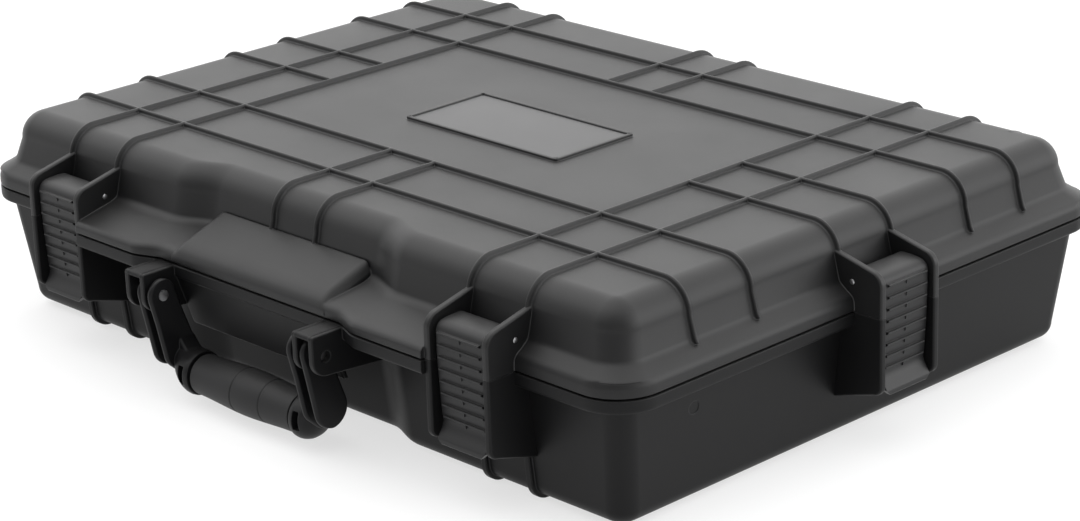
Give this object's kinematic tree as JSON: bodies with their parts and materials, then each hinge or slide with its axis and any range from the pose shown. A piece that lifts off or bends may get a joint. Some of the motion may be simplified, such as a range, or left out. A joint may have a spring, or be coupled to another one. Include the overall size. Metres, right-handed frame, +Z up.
{
  "type": "hard tool case",
  "caption": "Low ribbed hard case of two moulded shells with a hinged lid, pinned lever latches on the front and ends, a swinging carry handle and a foam lining.",
  "frame": {"origin": "On the ground under the middle of the whole case, handle and hinge knuckles included.", "axes": "+X to the right end as seen from the front, +Y to the hinges at the back, +Z up; the handle and two latches are on the -Y side."},
  "size_m": [0.5384, 0.4174, 0.1174],
  "materials": {
    "shell": "fine moulded grain on black polypropylene, softly satin",
    "lever": "black nylon, ridged, slightly smoother than the shells",
    "handle": "black nylon, satin",
    "grip": "soft black overmould with a low sheen",
    "plate": "dark grey sheet with a fine satin grain, bare",
    "pin": "plain turned steel",
    "seal": "smooth black rubber ring",
    "foam": "open-cell dark grey polyurethane foam"
  },
  "bodies": {
    "base": {"base_shell": "shell", "latch_catch_front_left": "shell", "latch_catch_front_right": "shell", "latch_catch_side_left": "shell", "latch_catch_side_right": "shell", "base_foam_pad": "foam", "base_foam_tray": "foam", "hinge_pin_left": "pin", "hinge_pin_right": "pin", "handle_pin_left": "pin", "handle_pin_right": "pin"},
    "lid": {"lid_shell": "shell", "lid_gasket": "seal", "name_plate": "plate", "lid_foam": "foam", "latch_pin_front_left": "pin", "latch_pin_front_right": "pin", "latch_pin_side_left": "pin", "latch_pin_side_right": "pin"},
    "latch_front_left": {"latch_lever_front_left": "lever"},
    "latch_front_right": {"latch_lever_front_right": "lever"},
    "latch_side_left": {"latch_lever_side_left": "lever"},
    "latch_side_right": {"latch_lever_side_right": "lever"},
    "handle": {"handle_frame": "handle", "handle_grip": "grip"}
  },
  "joints": [
    {"name": "lid_hinge", "type": "hinge", "parent": "base", "child": "lid", "pos_m": [0, 0.2022, 0.063], "axis": [-1, 0, 0], "range_deg": [0, 100]},
    {"name": "latch_front_left_swing", "type": "hinge", "parent": "lid", "child": "latch_front_left", "pos_m": [-0.16, -0.1723, 0.0896], "axis": [-1, 0, 0], "range_deg": [0, 100]},
    {"name": "latch_front_right_swing", "type": "hinge", "parent": "lid", "child": "latch_front_right", "pos_m": [0.16, -0.1723, 0.0896], "axis": [-1, 0, 0], "range_deg": [0, 100]},
    {"name": "latch_side_left_swing", "type": "hinge", "parent": "lid", "child": "latch_side_left", "pos_m": [-0.2505, 0.0127, 0.0896], "axis": [0, 1, 0], "range_deg": [0, 100]},
    {"name": "latch_side_right_swing", "type": "hinge", "parent": "lid", "child": "latch_side_right", "pos_m": [0.2505, 0.0127, 0.0896], "axis": [0, -1, 0], "range_deg": [0, 100]},
    {"name": "handle_swing", "type": "hinge", "parent": "base", "child": "handle", "pos_m": [0, -0.2, 0.0614], "axis": [-1, 0, 0], "range_deg": [0, 90]}
  ]
}
